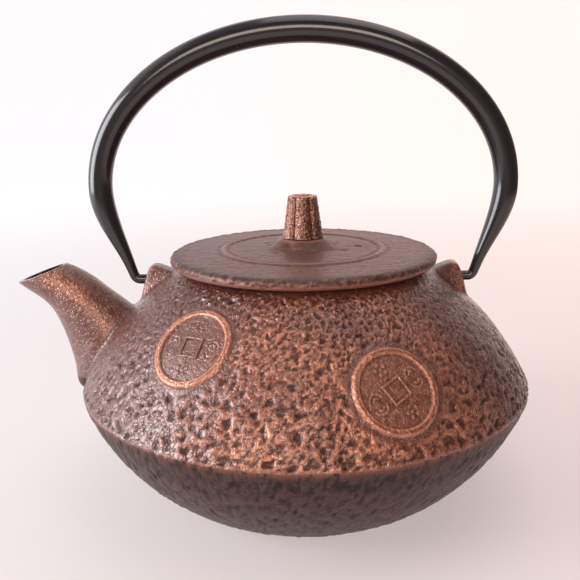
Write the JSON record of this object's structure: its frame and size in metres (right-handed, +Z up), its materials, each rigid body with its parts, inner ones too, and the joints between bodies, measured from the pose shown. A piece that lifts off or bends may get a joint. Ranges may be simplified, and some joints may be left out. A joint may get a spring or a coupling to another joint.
{
  "type": "cast iron teapot",
  "caption": "Low round cast iron teapot with a curved spout, lift-off lid with a fluted knob, removable tea infuser and a swinging bail handle.",
  "frame": {"origin": "centre of the flat base, on the surface the teapot stands on", "axes": "+Z up, +X along the bail's pivot line away from the spout, so the spout points along -X, +Y across the body"},
  "size_m": [0.1954, 0.17, 0.1744],
  "materials": {
    "cast_iron_body": "rough cast skin, purplish brown with copper rubbed over the high spots",
    "enamel": "glossy black enamel lining",
    "cast_iron_lid": "fine streaked cast skin, satin brown",
    "copper_knob": "stippled copper-coloured metal",
    "black_paint": "semi-gloss black enamel paint, lightly scuffed",
    "stainless": "satin stainless sheet",
    "stainless_mesh": "perforated stainless sheet",
    "zinc_steel": "zinc plated steel"
  },
  "bodies": {
    "pot": {"pot_body": "cast_iron_body"},
    "bail": {"bail_handle": "black_paint"},
    "infuser": {"infuser_rim": "stainless", "infuser_sleeve": "stainless_mesh", "infuser_floor_ring": "stainless", "infuser_floor": "stainless_mesh"},
    "lid": {"lid": "cast_iron_lid", "lid_knob": "copper_knob", "knob_screw": "zinc_steel", "knob_washer": "zinc_steel"}
  },
  "joints": [
    {"name": "bail_swing", "type": "hinge", "parent": "pot", "child": "bail", "pos_m": [0, 0, 0.0794], "axis": [1, 0, 0], "range_deg": [-107, 107]},
    {"name": "infuser_lift", "type": "slide", "parent": "pot", "child": "infuser", "axis": [0, 0, 1], "range_m": [0, 0.05]},
    {"name": "lid_lift", "type": "slide", "parent": "infuser", "child": "lid", "axis": [0, 0, 1], "range_m": [0, 0.05]}
  ]
}
